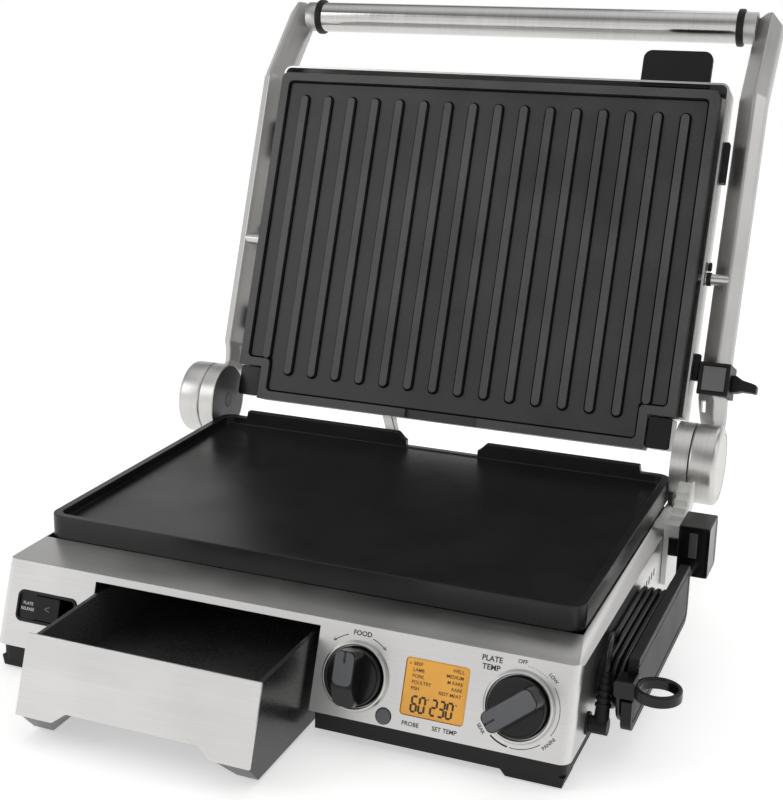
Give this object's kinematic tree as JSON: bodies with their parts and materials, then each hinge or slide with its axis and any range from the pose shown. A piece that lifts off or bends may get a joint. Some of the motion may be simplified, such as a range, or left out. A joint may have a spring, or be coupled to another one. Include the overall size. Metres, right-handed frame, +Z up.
{
  "type": "panini press",
  "caption": "Countertop panini press with a flat griddle, a hinged floating ribbed plate, a drawn drip tray, dials, a display and a wound probe lead.",
  "frame": {"origin": "on the floor, under the middle of the bounding box of the press with its lid open and its tray drawn, without the probe and its lead", "axes": "+X to the right of someone facing the controls, +Y to the back, +Z up"},
  "size_m": [0.413, 0.526, 0.3718],
  "materials": {
    "stainless": "brushed stainless sheet",
    "hub_steel": "circular brushed stainless",
    "handle_steel": "polished stainless tube",
    "nonstick": "cast aluminium with dark non-stick coating",
    "black_plastic": "moulded, fine texture",
    "gloss_black": "moulded, smooth",
    "grey_plastic": "satin painted",
    "display": "amber backlit window",
    "rubber": "soft pad",
    "lead": "flexible sheath",
    "inner_steel": "plain sheet and bar",
    "element": "heating tube sheath",
    "circuit": "circuit board",
    "bronze": "sintered bush"
  },
  "bodies": {
    "base": {"base_pan": "black_plastic", "rubber_feet": "rubber", "lower_housing": "stainless", "rear_cover": "black_plastic", "mains_gland": "black_plastic", "tray_bay": "inner_steel", "grease_chute": "inner_steel", "lower_plate": "nonstick", "lower_heating_element": "element", "lower_heat_shield": "inner_steel", "plate_clips": "inner_steel", "control_board": "circuit", "power_board": "circuit", "display_module": "black_plastic", "display_glass": "display", "dial_encoders": "black_plastic", "food_dial_bezel": "hub_steel", "temp_dial_bezel": "hub_steel", "release_bezel": "gloss_black", "hinge_bracket_left": "black_plastic", "hinge_bracket_right": "black_plastic", "hinge_ring_left": "hub_steel", "hinge_ring_right": "hub_steel", "hinge_pins": "inner_steel", "height_rack": "inner_steel", "probe_rest_block": "gloss_black", "probe_spool": "black_plastic", "probe_handle": "black_plastic", "probe_spike": "inner_steel", "probe_socket": "black_plastic", "probe_plug": "black_plastic", "probe_lead_start": "lead", "probe_lead_coil": "lead", "probe_lead_end": "lead", "base_screws": "inner_steel"},
    "tray": {"tray_front": "stainless", "tray_tub": "gloss_black"},
    "food_dial": {"food_dial": "black_plastic", "food_dial_insert": "grey_plastic"},
    "temp_dial": {"temp_dial": "black_plastic", "temp_dial_insert": "grey_plastic"},
    "select_button": {"select_button": "grey_plastic"},
    "release_button": {"release_button": "black_plastic"},
    "arms": {"arm_left": "stainless", "arm_right": "stainless", "hub_cap_left": "hub_steel", "hub_cap_right": "hub_steel", "hinge_bushes": "bronze", "tilt_pins": "inner_steel", "handle_collars": "black_plastic", "handle_tube": "handle_steel"},
    "height_slider": {"height_slider": "black_plastic", "slider_lever": "black_plastic"},
    "upper_grill": {"upper_housing": "stainless", "upper_plate": "nonstick", "upper_heating_element": "element", "upper_heat_shield": "inner_steel", "drain_spout": "inner_steel", "hinge_corner_blocks": "black_plastic", "side_guides": "black_plastic"},
    "upper_release_tab": {"upper_release_tab": "black_plastic"}
  },
  "joints": [
    {"name": "lid_hinge", "type": "hinge", "parent": "base", "child": "arms", "pos_m": [-0.0066, 0.09192, 0.0891], "axis": [1, 0, 0], "range_deg": [-69.8, 110.2]},
    {"name": "grill_tilt", "type": "hinge", "parent": "arms", "child": "upper_grill", "pos_m": [-0.0066, 0.15524, 0.19805], "axis": [1, 0, 0], "range_deg": [-3, 3]},
    {"name": "height_slide", "type": "slide", "parent": "arms", "child": "height_slider", "axis": [0, 0.3453, 0.9385], "range_m": [0, 0.04]},
    {"name": "tab_press", "type": "slide", "parent": "upper_grill", "child": "upper_release_tab", "axis": [0, -0.3453, -0.9385], "range_m": [0, 0.004], "stiffness_N_per_m": 300, "springref_m": -0.003},
    {"name": "tray_slide", "type": "slide", "parent": "base", "child": "tray", "axis": [0, -1, 0], "range_m": [-0.069, 0.1]},
    {"name": "food_dial_turn", "type": "hinge", "parent": "base", "child": "food_dial", "pos_m": [0.0465, -0.18625, 0.03739], "axis": [0, -0.9415, 0.3371], "continuous": true},
    {"name": "temp_dial_turn", "type": "hinge", "parent": "base", "child": "temp_dial", "pos_m": [0.1361, -0.18574, 0.0388], "axis": [0, -0.9415, 0.3371], "range_deg": [0, 230]},
    {"name": "select_press", "type": "slide", "parent": "base", "child": "select_button", "axis": [0, 0.9415, -0.3371], "range_m": [0, 0.0012], "stiffness_N_per_m": 250, "springref_m": -0.002},
    {"name": "release_press", "type": "slide", "parent": "base", "child": "release_button", "axis": [0, 0.9415, -0.3371], "range_m": [0, 0.003], "stiffness_N_per_m": 300, "springref_m": -0.003}
  ]
}
